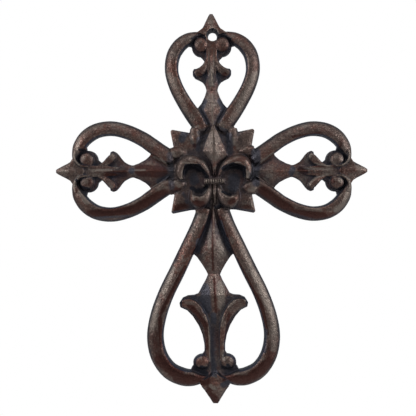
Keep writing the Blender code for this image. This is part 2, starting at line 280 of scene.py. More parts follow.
FOOT = Arm(
    drawn_length=151.4,
    band_half=FOOT_BAND_HALF,
    fin_half=FOOT_FIN_HALF,
    band=(
        (5.9, 24.0, 0.88), (9.8, 35.4, 0.94), (16.7, 50.3, 0.99), (23.7, 65.1, 1.03), (31.0, 79.9, 1.03),
        (36.2, 94.5, 1.05), (38.3, 108.1, 1.06), (36.0, 120.6, 1.08), (29.7, 130.0, 1.10),
        (21.5, 134.4, 1.12), (14.6, 135.4, 1.02), (9.8, 135.6, 0.72), (6.2, 134.9, 0.42),
        (3.4, 133.0, 0.30), (1.8, 130.0, 0.24), (1.8, 126.6, 0.21), (2.7, 121.6, 0.20),
        (3.0, 116.0, 0.18),
    ),
    fin=(
        (4.4, 124.0, 0.56), (4.8, 116.0, 0.70), (5.1, 108.0, 0.78), (6.0, 100.6, 0.96),
        (8.5, 94.4, 1.26), (12.0, 89.6, 1.50), (16.2, 86.5, 1.52), (20.8, 86.0, 1.00),
    ),
    fin_lean=0.5,
    neck=((0, 128.0, 0.5), (0, 131.0, 0.7), (0, 134.0, 0.6)),
    neck_top=0.0060,
    rib=((-0.2, 70.0, 0.4), (-0.2, 84.0, 0.7), (-0.2, 95.0, 0.4)),
    bead=((4.6, 33.0, 0.6), (8.4, 42.0, 1.0), (11.6, 50.0, 0.8)),
    curl=(),
    eye=(8.3, 124.4),
    eye_radius=4.7,
    web=(8.9, 125.4),
    web_radius=5.3,
    corner=(11.4, 130.4),
    bridge=((0, 131.0), (2.4, 133.4), (6.5, 135.6), (10.5, 136.4), (9.4, 139.2), (7.0, 141.0), (0, 143.0)),
    inner=(
        (1.0, 19.0), (2.6, 28.5), (4.6, 36.0), (7.6, 45.0), (10.4, 52.6), (9.8, 55.8), (7.4, 60.4),
        (5.2, 64.4), (3.9, 67.2), (3.9, 68.4),
    ),
    inner_ridge=((19.0, 0.4), (50.0, 1.0), (68.4, 0.35)),
    outer=(
        (3.9, 67.4), (5.6, 71.4), (8.0, 76.2), (10.4, 80.6), (8.6, 84.6), (6.2, 89.0), (3.4, 93.6),
        (0.8, 98.6),
    ),
    outer_ridge=((67.4, 0.45), (80.6, 1.0), (90.0, 0.5), (98.6, -0.3)),
    spine=(
        (0, 19.7), (4.8, 24.2), (13.0, 53.9), (10.9, 55.9), (7.7, 60.6), (5.3, 64.6), (4.0, 67.4),
        (4.0, 68.6), (7.0, 73.8), (10.3, 79.9), (13.0, 80.9), (17.0, 81.2), (20.4, 82.7), (22.5, 86.0),
        (21.9, 88.7), (17.6, 90.7), (14.0, 94.6), (10.2, 100.8), (8.0, 106.6), (6.8, 112.8),
        (6.8, 117.8), (8.6, 120.6), (13.4, 127.0), (14.0, 131.0), (9.6, 134.8), (0, 137.8),
    ),
    root=((0, 18.0), (9.0, 20.0), (11.0, 26.0), (11.0, 40.0), (10.6, 47.0), (0, 47.0)),
    finial=(
        (0.5, 130.5), (1.6, 133.4), (4.6, 136.6), (8.4, 138.4), (9.0, 140.4), (7.0, 142.8), (5.1, 145.8),
        (3.4, 148.4), (2.2, 150.4), (1.5, 151.4),
    ),
    finial_ridge=((130.5, -1.0), (137.6, 0.9), (142.0, 1.0), (147.0, 0.6), (151.4, 0.0)),
)

# The head, left, right and foot arm: length, turn from upright in degrees, form, and how far its left and
# its right side spread
ARMS = (
    (HEAD_ARM, 0, SHORT, (0.96, 0.99)),
    (LEFT_ARM, 89.4, SIDE, (1.03, 1.03)),
    (WIDTH - LEFT_ARM, -90.4, SIDE, (1.03, 1.04)),
    (HEIGHT - HEAD_ARM, 180, FOOT, (0.98, 1.02)),
)

# The plate and the fleur-de-lis, in millimetres from the plate's middle, with shares of the half width
PLATE_DRAWN_HALF = 27.2
CUSHION_RADIUS = 24.2
PLATE_CORNER = ((0, 24.5), (15.0, 25.3), (26.4, 27.5))
CORNER_LEAF = ((0, 12.0, 0.30), (0, 20.0, 0.90), (0, 27.0, 0.80), (0, 33.0, 0.42), (0, 37.4, 0.12))
KNOBS = (
    ((-11.8, 28.0, 0.70), (-11.4, 25.0, 0.84), (-11.0, 20.5, 0.86), (-10.7, 16.4, 0.40)),
    ((13.4, 28.0, 0.66), (13.4, 25.0, 0.80), (13.2, 20.5, 0.80), (12.9, 16.4, 0.40)),
    ((-27.0, 12.0, 0.86), (-24.4, 12.2, 1.00), (-21.0, 12.2, 1.00), (-17.2, 12.0, 0.50)),
    ((-27.0, -8.8, 0.86), (-24.4, -8.8, 1.06), (-20.6, -8.4, 0.86), (-16.4, -7.8, 0.24)),
    ((28.0, -11.0, 0.86), (25.4, -11.0, 1.08), (21.8, -11.0, 0.98), (18.8, -11.0, 0.40)),
    ((27.0, 13.0, 0.80), (24.4, 13.0, 0.90), (20.8, 13.0, 0.86), (17.8, 13.0, 0.40)),
    ((-8.8, -28.0, 0.70), (-8.4, -26.0, 0.80), (-8.0, -23.6, 0.40)),
    ((7.2, -28.0, 0.70), (7.0, -26.0, 0.80), (6.8, -23.6, 0.40)),
)

FLEUR_DRAWN_HEIGHT = 54.5
UPPER_PETAL = (
    (2.8, -4.6, 0.30), (3.6, -1.0, 0.40), (6.0, 2.9, 0.62), (9.8, 6.1, 0.84), (14.4, 7.4, 1.00),
    (18.9, 6.5, 1.05), (21.8, 2.9, 0.88), (22.5, -1.4, 0.80), (21.6, -5.2, 0.50),
)
LOWER_PETAL = (
    (2.4, -8.0, 0.30), (3.0, -12.2, 0.56), (4.6, -16.2, 0.84), (7.0, -19.0, 1.12), (10.4, -20.0, 1.26),
    (13.6, -17.9, 0.98), (15.1, -14.8, 0.48), (14.9, -12.0, 0.20),
)
STALK = ((0.2, -7.0, 0.70), (0.2, -15.0, 1.0), (0.2, -21.5, 0.40))
SPEAR_RIGHT = (
    (1.2, -3.0), (1.2, 0.5), (1.9, 4.0), (4.2, 6.3), (6.7, 8.0), (8.6, 10.2), (7.4, 14.0), (5.2, 19.5),
    (2.7, 25.0), (0.3, 30.4),
)
SPEAR_LEFT = (
    (0.9, -3.0), (0.9, 0.5), (1.8, 5.0), (3.8, 8.0), (5.8, 10.5), (7.2, 13.0), (5.7, 18.0), (3.2, 24.0),
    (0.3, 30.4),
)
SPEAR_RIDGE = ((-3.0, -0.6), (2.0, 0.2), (12.0, 1.0), (26.0, 0.5), (30.4, -0.6))
SPEAR_LINE = 0.16
COLLAR = ((-6.3, -6.5, 1.0), (6.7, -6.5, 1.0))
COLLAR_HALF = 0.0018
NUB = ((-7.3, -9.9, 1.0), (-6.7, -9.3, 1.0))


# Where the patina, the painted shade and the painted highlights were laid, each stroke a line from one
# place to another in millimetres on the standing cross, with its reach and its strength
PATINA_AND_PAINTED_LIGHT = {
    # Painted highlights, in part rubbed wear: lit flanks, rims, ridges and glints on the eyes
    "highlight_and_wear": (
        (-90, 12, -89.6, 8, 0.8, 0.9), (-89.6, 8, -87, 5, 0.7, 1.0), (-89.6, -9, -89.6, -5, 0.8, 0.9),
        (-89.6, -5, -87, -2.2, 0.7, 1.0), (89, 11, 88.6, 6, 0.7, 0.9), (88.6, 6, 84.4, 3, 0.7, 1.0),
        (84.4, -3.6, 88.6, -6.4, 0.7, 0.9), (88.6, -6.4, 89, -12, 0.8, 0.9), (-6, 7, -3, 1, 1.0, 0.7),
        (7, 7, 4, 1, 1.0, 0.6), (-4, -9, -5.5, -14, 0.8, 0.9), (5, -10, 5.5, -14, 0.7, 0.7),
        (-42, 30, -70, 33, 2.4, 0.45), (45, 27, 72, 32, 2.4, 0.45), (-27.5, 62, -18, 40, 3.2, 0.5),
        (28, 62, 14, 34, 3.4, 0.55), (-0.5, 56.5, -0.5, 65, 1.7, 1.0), (0, 31, 0, 50, 0.9, 0.5),
        (0, 96, 0, 101, 3.0, 0.3), (-1.8, 70, -1.5, 80, 0.7, 0.6), (1.5, 68, 1.6, 79, 0.7, 0.5),
        (-87, 22, -88.5, 12, 1.6, 0.7), (-86, -13, -82, -19, 2.2, 0.8), (-38.5, 10, -26, 3.5, 0.6, 1.0),
        (-39, -10, -33, -6, 0.6, 0.7), (-80, 1.5, -66, 1.5, 1.0, 0.8), (-52, 1.3, -44, 1.2, 0.8, 0.6),
        (-100, 1, -94, 1, 0.8, 0.6), (-84, 9.5, -84, 9.6, 2.0, 0.6), (-82.5, -6, -82.5, -6.1, 2.0, 0.4),
        (-66, 11, -64, 8, 1.5, 0.5), (-68, -7, -66, -9.5, 1.2, 0.6), (-55, -20.8, -70, -22.5, 0.9, 0.6),
        (86, -22, 89.5, -12, 2.6, 1.0), (80, -26, 86, -22, 2.4, 0.8), (70, -26, 60, -25.5, 1.6, 0.4),
        (60, 1, 76, 0.5, 1.0, 0.6), (62, 7, 64.5, 11, 1.0, 0.7), (66, 4, 76, 2.5, 0.8, 0.7),
        (62, -10, 66, -5.5, 0.9, 0.7), (67, -5, 76, -2.5, 0.8, 0.7), (80, 8, 80, 8.1, 1.8, 0.5),
        (82.5, -7, 82.5, -7.1, 1.6, 0.9), (31, 5.5, 39.5, 11.5, 0.6, 1.0),
        (33, -5, 37.5, -8.5, 0.6, 0.8), (99, 0, 94, 2, 1.2, 0.5), (26, -12, 24, -12, 2.0, 0.7),
        (0.5, 24, 0.5, 9, 5.0, 0.45), (-13.8, 22, -12.8, 18.5, 0.9, 0.9), (13.4, 21, 13.4, 18, 1.1, 0.9),
        (-25.5, 12.5, -24.5, 9, 0.8, 0.9), (-24.5, -7, -22, -9.5, 1.4, 0.7),
        (-13, -15.5, -12.6, -18.5, 0.8, 0.9), (-19, 5.5, -15, 5, 0.7, 0.8), (12, 4.8, 16, 5.2, 0.6, 0.8),
        (22.5, -1, 23, -4, 1.2, 0.8), (-14, 28.6, -9, 29.2, 0.6, 0.8), (-16.5, -36, -13, -30, 1.8, 0.5),
        (-27, -63, -33, -78, 2.2, 0.7), (-37, -84, -41.5, -100, 2.8, 0.6), (14, -36, 24, -62, 2.6, 0.5),
        (26, -66, 37, -92, 2.8, 0.75), (38.5, -96, 38, -116, 2.6, 0.55), (3.5, -46, 6.5, -53, 2.4, 0.8),
        (-2, -35, -3, -50, 1.6, 0.5), (4.2, -74, 4.6, -88, 2.6, 1.0), (-3.6, -95, -3.2, -124, 0.7, 1.0),
        (6, -88, 4, -97, 1.5, 0.9), (13, -84.5, 9, -88, 1.4, 0.6), (-19, -85, -13, -86, 1.6, 0.5),
        (-11, -121, -9.5, -120.5, 1.2, 0.7), (5, -120.5, 5.6, -122.5, 1.0, 0.9),
        (10.5, -121, 10.5, -123, 1.0, 0.7), (-1, -141, -3, -139.5, 1.4, 0.9),
    ),
    # Rust red and painted shade: downward bands, loop bottoms and under the knobs and eyes
    "rust_and_shade": (
        (-8.5, 63, -6.5, 62.5, 1.6, 0.6), (8.6, 63, 8, 62, 1.8, 0.6), (7.5, 79, 9, 79, 1.6, 0.6),
        (-4, 78, -6, 77.6, 1.0, 0.5), (-12, 34, -9, 31, 2.0, 0.4), (-32, -14, -52, -24.5, 3.4, 0.8),
        (-52, -24.5, -80, -27, 3.2, 0.8), (-47, 1, -33, 0, 4.4, 1.0), (-68, -1.5, -58, -1, 2.6, 1.0),
        (-84, 4.6, -81, 5.5, 1.2, 0.6), (-80, -5, -80, -8, 1.6, 0.6), (-72, 6.5, -66, 7.5, 1.4, 0.4),
        (32, -13, 50, -26, 3.4, 0.8), (50, -27.5, 72, -30.5, 3.0, 0.9), (72, -31, 84, -27, 2.0, 0.5),
        (57, 0.5, 60, -1.5, 2.2, 1.0), (66, 3.5, 72, 1.8, 1.2, 0.7), (76, 3, 84, -1, 1.6, 0.6),
        (78, -8, 77, -4, 1.6, 0.6), (90, 0, 94, -3, 2.5, 0.4), (52, 21.5, 70, 24, 1.2, 0.6),
        (82, 15, 84, 20, 1.6, 0.5), (-12, 16.8, -10, 16.2, 1.4, 0.9), (-12, -20.5, -7, -21.5, 2.2, 0.9),
        (11, -20.5, 13, -19.5, 2.0, 0.7), (-24, -24, -18, -22.5, 3.0, 0.7), (23, -24, 17, -23, 2.4, 0.5),
        (-22, -11, -25, -12, 1.8, 0.7), (-6, -36, -14, -54, 1.4, 0.7), (-19, -62, -35, -92, 1.5, 0.7),
        (-35.5, -95, -35, -112, 1.6, 0.8), (-38.5, -106, -36, -120, 4.2, 0.5),
        (38, -112, 36, -122, 4.2, 0.5), (-36, -122, -24, -132, 4.4, 1.0),
        (-24, -135, -7, -136, 4.0, 1.0), (4, -30, 12, -54, 1.6, 0.8), (14, -58, 30, -88, 1.9, 0.95),
        (31, -90, 34, -106, 1.5, 0.8), (35, -125, 24, -134, 4.2, 1.0), (22, -136, 8, -135.5, 3.8, 1.0),
        (-1.2, -28, -0.8, -64, 0.8, 0.8), (0, -70, 0.8, -92, 0.8, 1.0), (-16, -87.5, -6, -100, 2.2, 0.8),
        (-6, -100, -5, -116, 1.4, 0.6), (9.5, -93, 6.6, -112, 1.2, 0.7), (17, -84, 19, -86, 1.6, 0.5),
        (-4, -143, 0, -149, 2.8, 0.8),
    ),
    # Painted shade in blue-grey: shaded facets, webs, grooves and lower edges
    "blue_shade": (
        (-4.6, 46, -7, 40, 2.0, 0.7), (-7, 40, -3.6, 32, 2.0, 0.7), (4.6, 46, 8, 40.5, 2.0, 0.8),
        (8, 40.5, 4.2, 33, 2.2, 0.7), (-5.6, 58, -4.4, 62, 1.8, 0.8), (5.4, 57, 4.4, 62.5, 1.8, 0.8),
        (-53, 0.8, -53, 0.9, 2.4, 0.8), (-28, 11, -27, -10, 2.4, 0.6), (-36, -6.5, -28, -2.5, 1.4, 0.8),
        (52, 1, 51, -2, 2.2, 0.8), (28, 12, 28, 2, 3.4, 0.9), (27, -2, 28, -8, 3.0, 0.7),
        (-18, 23, -17, 27, 2.0, 0.7), (10.8, 23, 11.5, 12.5, 2.6, 0.7), (-9, 21, -9.4, 14, 1.8, 0.6),
        (17, 24, 19, 26, 1.6, 0.4), (25.5, -4, 28, 3, 3.0, 0.6), (-19.5, -14, -17, -20, 1.6, 0.6),
        (1.5, -23.5, 4, -22.5, 1.4, 0.6), (8, -44, 10, -51, 1.6, 0.9), (4.5, -33, 7, -42, 1.4, 0.9),
        (-10, -45, -10.5, -52, 1.8, 0.8), (-15, -34, -23, -50, 1.3, 0.7), (-6, -76, -5, -90, 3.4, 0.95),
        (-14, -82, -8, -84, 2.0, 0.8), (14, -82.3, 9, -82.5, 1.2, 0.5),
        (-0.8, -94, -0.8, -132, 2.1, 1.0), (5, -139, 8, -138, 2.4, 0.8),
        (33.5, -104, 32, -118, 1.2, 0.6), (-12, -4, -12, -6, 3.8, 0.9), (14, -5, 13, -10, 4.4, 0.9),
        (-2, 28, -9, 25, 1.6, 0.5), (3, 28, 9, 26, 1.8, 0.6), (-20, 21, -18, 26, 2.6, 0.9),
        (-26.5, -26.6, -13, -24.7, 0.8, 0.9), (26, -26.4, 14, -24.7, 0.8, 0.8),
        (-78, -29.5, -50, -28.5, 1.0, 0.6), (-50, -28.5, -33, -18, 1.0, 0.7),
        (66, -32.6, 44, -26, 0.9, 0.5),
    ),
    # Painted deep shadow: crescents by the eyes, the fleur's hollows and under the eyes
    "deep_shade": (
        (-12.6, 86, -8.5, 88.8, 1.0, 0.6), (12.4, 85.5, 9, 88.4, 1.1, 0.7),
        (-10.5, 76.6, -6, 75.8, 0.9, 0.5), (12.2, 79.5, 7.5, 75.6, 0.9, 0.6),
        (-18.5, -1, -17, 3, 1.4, 1.0), (-17, 3, -9, 3, 1.7, 1.0), (-9, 3, -4, -4, 1.6, 0.9),
        (7, 1.5, 13, 3.6, 1.8, 1.0), (13, 3.6, 20, 1.5, 1.6, 1.0), (20, 1.5, 20.5, -3.5, 1.2, 0.8),
        (-14, -11, -8, -13.5, 1.4, 1.0), (-8, -13.5, -4, -10, 1.4, 0.9), (6, -13.5, 11, -15.5, 1.0, 0.8),
        (-12.5, -128.5, -6, -132, 1.9, 1.0), (5, -128, 10.5, -129, 1.5, 1.0),
        (-10.5, -49, -11.5, -52, 1.0, 0.8), (10.5, -51, 11.4, -53, 1.0, 0.9),
        (-86.5, 14.8, -83, 14.6, 0.9, 0.7), (-88.5, -5, -86, -9, 1.0, 0.9),
        (-85, -9.5, -81, -10.5, 0.9, 0.9), (79, 13, 84, 12.5, 1.0, 0.6), (82, -12.5, 85, -11, 1.0, 0.9),
        (-9, -127.5, -6, -128.5, 1.6, 0.8), (8, -126, 9, -127, 1.2, 0.8),
    ),
    # Where the painted shade in the recesses is lifted
    "clear": (
        (-93, 6, -90, 15, 2.4, 0.8), (-90, 15, -82, 17, 2.0, 0.7), (-93, -4, -89, -12, 2.4, 0.8),
        (92, 6, 89, 14, 2.4, 0.8), (89, 15, 82, 17, 2.0, 0.7), (92, -6, 88, -14, 2.4, 0.8),
        (-10, 90, -14, 86, 2.0, 0.5), (10, 90, 14, 86, 2.0, 0.5), (-24, 22, -20, 14, 5.0, 0.8),
        (22, 20, 15, 14, 6.0, 0.8), (-12, -4, -12, -6, 3.4, 0.75), (14, -5, 13, -10, 4.0, 0.85),
        (-24, -2, -24, 4, 3.0, 0.6), (-4, 27, -10, 27, 3.0, 0.6), (5, 27, 11, 27, 3.0, 0.7),
        (25, 2, 24, -5, 3.0, 0.6), (-22, -18, -20, -22, 5.0, 0.6), (22, -18, 20, -22, 5.0, 0.6),
        (0, 66, 0, 80, 3.0, 0.6), (-14, 27, 14, 27, 3.0, 0.6), (-27, -13, -27, 13, 3.0, 0.6),
        (27, -13, 27, 13, 3.0, 0.6), (-10, -25.5, 10, -25.5, 2.5, 0.4), (-10.5, 40, -3, 29, 2.0, 0.8),
        (10.5, 40, 3, 29, 2.0, 0.8), (-40, 10.5, -27, 3, 1.6, 0.8), (-40, -9.5, -27, -2.5, 1.6, 0.7),
        (40, 11, 28, 3.5, 1.6, 0.8), (39, -9.5, 28, -3, 1.6, 0.7), (0.8, -9, 0.8, -30, 3.0, 0.75),
        (-26, -4, -21, -12, 3.0, 0.6), (-25, 10, -20, 11, 3.0, 0.5), (24, 8, 26, 12, 3.0, 0.5),
        (-6, 0, 6, 0, 22.0, 0.35),
    ),
}


def smooth(points, steps):
    """A curve through the points, with that many lengths between each two."""
    ends = np.array([points[0], *points, points[-1]], float)
    path = []
    for a, b, c, d in zip(ends, ends[1:], ends[2:], ends[3:]):
        for step in range(steps):
            t = step / steps
            bend = 2 * a - 5 * b + 4 * c - d
            twist = 3 * b - a - 3 * c + d
            path.append(b + t * ((c - a) + t * (bend + t * twist)) / 2)
    return np.array(path + [ends[-1]])


def skin(rings):
    """A closed skin through rings of as many points each."""
    count = len(rings[0])
    points = np.concatenate(rings)
    faces = []
    for ring in range(len(rings) - 1):
        here = ring * count
        there = here + count
        for corner in range(count):
            before = (corner - 1) % count
            faces.append((here + before, here + corner, there + corner, there + before))
    faces.append(tuple(range(count)))
    last = (len(rings) - 1) * count
    faces.append(tuple(range(last + count - 1, last - 1, -1)))
    return [points, faces]


def bar(points, scale, half, top, edges=(0.4, 0.4), lean=0.0, bulge=2.3, lowering=0.35, steps=6):
    """A bar on upright sides along the points, which hold across, out and share of the width.

    The edges are the heights of its left and right side, seen along the points, as shares of its crest. The
    crest leans that share of the half width to the right, and the bulge may be one for each side.
    """
    path = smooth(points, steps)
    ahead = np.gradient(path[:, :2], axis=0)
    ahead /= np.linalg.norm(ahead, axis=1)[:, None]
    around = np.linspace(-1, 1, 17)
    slope = np.where(around > lean, (around - lean) / (1 - lean), (around - lean) / (1 + lean))
    edge = np.where(slope > 0, edges[1], edges[0])
    bulges = np.broadcast_to(bulge, 2)
    power = np.where(slope > 0, bulges[1], bulges[0])
    level = edge + (1 - edge) * (1 - np.abs(slope) ** power) ** (1 / power)
    around = np.concatenate([[-1.0], around, [1.0]])
    level = np.concatenate([[0.0], level, [0.0]])
    rings = []
    for (across, out, share), (along_x, along_y) in zip(path, ahead):
        width = half * max(share, 0.02)
        rise = top * max(share, 0.02) ** lowering
        ring = np.empty((len(around), 3))
        ring[:, 0] = across * scale + around * width * along_y
        ring[:, 1] = out * scale - around * width * along_x
        ring[:, 2] = min(rise, top) * level
        rings.append(ring)
    return skin(rings)


def roof(rim, ridge, scale, edge, top, left_rim=None, line=0.0, hollow=1.0, steps=8):
    """A faceted leaf on upright sides, with a line sunk along its ridge and its facets hollowed.

    The rims hold across and out, and the ridge holds out and share of the rise.
    """
    right_out, right_across = np.array([(out, across) for across, out in rim]).T
    left_out, left_across = np.array([(out, across) for across, out in left_rim or rim]).T
    ridge_out, ridge_share = np.array(ridge).T
    between = np.linspace(right_out[0], right_out[-1], 40)
    stations = np.unique(np.concatenate([right_out, left_out, between]))
    around = np.linspace(-1, 1, 2 * steps + 1)
    rise = (1 - np.abs(around)) ** hollow - line * (around == 0)
    around = np.concatenate([[-1.0], around, [1.0]])
    rings = []
    for out in stations:
        right = max(np.interp(out, right_out, right_across), 0.05)
        left = max(np.interp(out, left_out, left_across), 0.05)
        share = np.interp(out, ridge_out, ridge_share)
        ring = np.empty((len(around), 3))
        ring[:, 0] = np.where(around > 0, around * right, around * left) * scale
        ring[:, 1] = out * scale
        ring[1:-1, 2] = edge + (top - edge) * share * rise
        ring[[0, -1], 2] = 0.0
        rings.append(ring)
    return skin(rings)


def slab(outline, top):
    """A flat slab of that outline."""
    outline = np.array(outline)
    foot = np.column_stack([outline, np.zeros(len(outline))])
    face = np.column_stack([outline, np.full(len(outline), top)])
    return skin([foot, face])


def post(centre, radii, top, sides=40):
    """A round post whose radii are those at its foot and its top."""
    turn = np.linspace(0, 2 * pi, sides, endpoint=False)
    circle = np.column_stack([np.cos(turn), np.sin(turn)])
    rings = []
    for radius, level in zip(radii, (0.0, top)):
        rings.append(np.column_stack([circle * radius + np.array(centre), np.full(sides, level)]))
    return skin(rings)


def button(centre, radius, edge, top, bulge=2.6, sides=36):
    """A round button on an upright side, domed from its edge to its top."""
    turn = np.linspace(0, 2 * pi, sides, endpoint=False)
    circle = np.column_stack([np.cos(turn), np.sin(turn)])
    rings = [np.column_stack([circle * radius + np.array(centre), np.zeros(sides)])]
    for share in (1.0, 0.99, 0.96, 0.91, 0.84, 0.75, 0.64, 0.5, 0.34, 0.17, 0.02):
        level = edge + (top - edge) * (1 - share ** bulge) ** (1 / bulge)
        rings.append(np.column_stack([circle * radius * share + np.array(centre), np.full(sides, level)]))
    return skin(rings)


def changed(forms, change):
    """The forms with their points put through a change."""
    return [[change(points), faces] for points, faces in forms]


def mirrored(forms):
    """The forms and their mirror images across the middle line."""
    images = [[points * (-1, 1, 1), [face[::-1] for face in faces]] for points, faces in forms]
    return forms + images


def spread(forms, shares):
    """What lies left and right of the middle line widened, each by its own share."""
    def widen(points):
        return points * np.column_stack([
            np.where(points[:, 0] > 0, shares[1], shares[0]), np.ones(len(points)), np.ones(len(points)),
        ])
    return changed(forms, widen)


def turned(forms, turn):
    across, out = cos(radians(turn)), sin(radians(turn))
    matrix = np.array([[across, -out, 0], [out, across, 0], [0, 0, 1]])
    return changed(forms, lambda points: points @ matrix.T)


def looped_arm(length, turn, arm, shares):
    """One arm, drawn upright and turned to its side of the plate."""
    scale = length / arm.drawn_length
    eye_place = [place * scale for place in arm.eye]
    web_place = [place * scale for place in arm.web]
    web_radius = arm.web_radius * scale
    sides = [
        bar(arm.band, scale, arm.band_half, BAND_TOP, BAND_EDGES, BAND_LEAN, BAND_BULGES),
        bar(arm.fin, scale, arm.fin_half, FIN_TOP, FIN_EDGES, arm.fin_lean),
        bar(arm.bead, scale, BEAD_HALF, BEAD_TOP, BEAD_EDGES),
        button(eye_place, arm.eye_radius * scale, EYE_EDGE, EYE_TOP, 2.0),
        post(web_place, (web_radius, web_radius * 0.97), WEB_TOP),
        post([place * scale for place in arm.corner], (CORNER_WEB_RADIUS, CORNER_WEB_RADIUS), WEB_TOP),
    ]
    if arm.curl:
        sides.append(bar(arm.curl, scale, CURL_HALF, CURL_TOP, CURL_EDGES, lowering=0.1))
    spine, root, bridge = [
        [(x * scale, y * scale) for x, y in [*half, *((-x, y) for x, y in reversed(half) if x > 0)]]
        for half in (arm.spine, arm.root, arm.bridge)
    ]
    middle = [
        roof(arm.inner, arm.inner_ridge, scale, LEAF_EDGE, LEAF_TOP, hollow=INNER_HOLLOW),
        roof(arm.outer, arm.outer_ridge, scale, LEAF_EDGE, LEAF_TOP, hollow=OUTER_HOLLOW),
        roof(arm.finial, arm.finial_ridge, scale, FINIAL_EDGE, FINIAL_TOP),
        bar(arm.rib, scale, RIB_HALF, RIB_TOP),
        bar(arm.neck, scale, NECK_HALF, arm.neck_top, NECK_EDGES),
        slab(spine, WEB_TOP),
        slab(bridge, BRIDGE_TOP),
        slab(root, 0.96 * LEAF_EDGE),
    ]
    return turned(spread(mirrored(sides) + middle, shares), turn)


def plate():
    """The square plate, with a low leaf on each corner and a knob where each band comes in."""
    scale = PLATE_HALF / PLATE_DRAWN_HALF
    half_corner = [(x * scale, y * scale) for x, y in PLATE_CORNER]
    corner = half_corner + [(y, x) for x, y in reversed(half_corner[1:])]
    outline = []
    for turn in range(0, 360, 90):
        across, out = cos(radians(turn)), sin(radians(turn))
        outline += [(x * across + y * out, -x * out + y * across) for x, y in corner]
    cushion = button((0, 0), CUSHION_RADIUS * scale, PLATE_TOP, CUSHION_TOP, 2.0, 90)
    forms = [slab(outline, PLATE_TOP), cushion]
    for turn in range(0, 360, 90):
        leaf = bar(CORNER_LEAF, scale, CORNER_HALF, CORNER_TOP, CORNER_EDGES, bulge=2.0, lowering=0.1)
        forms += turned([leaf], turn - 45)
    for knob in KNOBS:
        forms.append(bar(knob, scale, KNOB_HALF, KNOB_TOP, KNOB_EDGES, bulge=2.0, lowering=0.3))
    return forms


def fleur_de_lis():
    """The spear, two pairs of curling petals and a stalk, tied by the collar."""
    scale = FLEUR_HEIGHT / FLEUR_DRAWN_HEIGHT
    petals = [
        bar(UPPER_PETAL, scale, PETAL_HALF, PETAL_TOP, PETAL_EDGES, PETAL_LEAN),
        bar(LOWER_PETAL, scale, PETAL_HALF, PETAL_TOP, PETAL_EDGES[::-1], -PETAL_LEAN),
    ]
    forms = mirrored(petals) + [
        roof(SPEAR_RIGHT, SPEAR_RIDGE, scale, SPEAR_EDGE, SPEAR_TOP, SPEAR_LEFT, SPEAR_LINE),
        bar(STALK, scale, STALK_HALF, STALK_TOP),
        bar(COLLAR, scale, COLLAR_HALF, COLLAR_TOP, COLLAR_EDGES),
        bar(NUB, scale, 2 * BEAD_HALF, 0.8 * COLLAR_TOP),
    ]
    return changed(forms, lambda points: points + (FLEUR_ASIDE, 0, 0))


def mesh_of(forms, name):
    """One mesh of all the forms, each still whole."""
    points = np.concatenate([form[0] for form in forms])
    faces = []
    start = 0
    for form_points, form_faces in forms:
        faces += [tuple(start + corner for corner in face) for face in form_faces]
        start += len(form_points)
    mesh = bpy.data.meshes.new(name)
    mesh.from_pydata(points.tolist(), [], faces)
    mesh.validate()
    return mesh


def new_object(name, mesh):
    obj = bpy.data.objects.new(name, mesh)
    bpy.context.scene.collection.objects.link(obj)
    return obj


def evaluated(obj):
    """The object's mesh with its modifiers applied, and the modifiers gone."""
    bpy.context.view_layer.update()
    mesh = bpy.data.meshes.new_from_object(obj.evaluated_get(bpy.context.evaluated_depsgraph_get()))
    obj.modifiers.clear()
    old = obj.data
    obj.data = mesh
    bpy.data.meshes.remove(old)
    return obj


def points_of(mesh):
    points = np.empty(len(mesh.vertices) * 3)
    mesh.vertices.foreach_get("co", points)
    return points.reshape(-1, 3)


def blurred(grid, reach):
    """The grid through a Gaussian blur of that reach in cells."""
    steps = np.arange(-int(3 * reach), int(3 * reach) + 1)
    weights = np.exp(-0.5 * (steps / reach) ** 2)
    weights /= weights.sum()
    for axis in (0, 1):
        grid = np.apply_along_axis(lambda line: np.convolve(line, weights, mode="same"), axis, grid)
    return grid


def relief_map(points):
    """The highest level over each cell of the cross, with a wide empty margin."""
    corner = points[:, :2].min(axis=0) - MARGIN
    span = points[:, :2].max(axis=0) + MARGIN - corner
    cells = np.ceil(span / CELL).astype(int) + 1
    relief = np.zeros(cells)
    place = ((points[:, :2] - corner) / CELL + 0.5).astype(int)
    np.maximum.at(relief, (place[:, 0], place[:, 1]), points[:, 2])
    near = [np.roll(relief, shift, axis) for axis in (0, 1) for shift in (-1, 1)]
    between = np.minimum(np.maximum(near[0], near[1]), np.maximum(near[2], near[3]))
    return np.where(relief > 0, relief, between), corner


def sampled(grid, corner, across, out):
    """The grid's values at those places."""
    column = np.clip(((across - corner[0]) / CELL + 0.5).astype(int), 0, grid.shape[0] - 1)
    row = np.clip(((out - corner[1]) / CELL + 0.5).astype(int), 0, grid.shape[1] - 1)
    return grid[column, row]


def store(mesh, name, values):
    attribute = mesh.attributes.new(name, "FLOAT", "POINT")
    attribute.data.foreach_set("value", values.astype(np.float32))


def laid(strokes, across, out):
    """How strongly each place is covered by the strokes of patina and painted light, fading over each one's
    reach.
    """
    cover = np.zeros(len(across))
    for start_x, start_z, end_x, end_z, reach, strength in strokes:
        along = np.array([end_x - start_x, end_z - start_z])
        from_x = across * 1000 - start_x
        from_z = out * 1000 - start_z
        share = np.clip((from_x * along[0] + from_z * along[1]) / (along @ along), 0, 1)
        distance = np.hypot(from_x - share * along[0], from_z - share * along[1])
        fade = np.clip((1.35 * reach - distance) / (0.9 * reach), 0, 1)
        cover = np.maximum(cover, strength * fade * fade * (3 - 2 * fade))
    return cover


def openings(relief):
    """The cells inside the loops, where the wall shows through."""
    empty = relief == 0
    outside = np.zeros_like(empty)
    outside[0] = outside[-1] = True
    outside[:, 0] = outside[:, -1] = True
    size = 0
    while outside.sum() != size:
        size = outside.sum()
        for _ in range(8):
            for axis in (0, 1):
                for shift in (-1, 1):
                    outside |= np.roll(outside, shift, axis) & empty
    return empty & ~outside


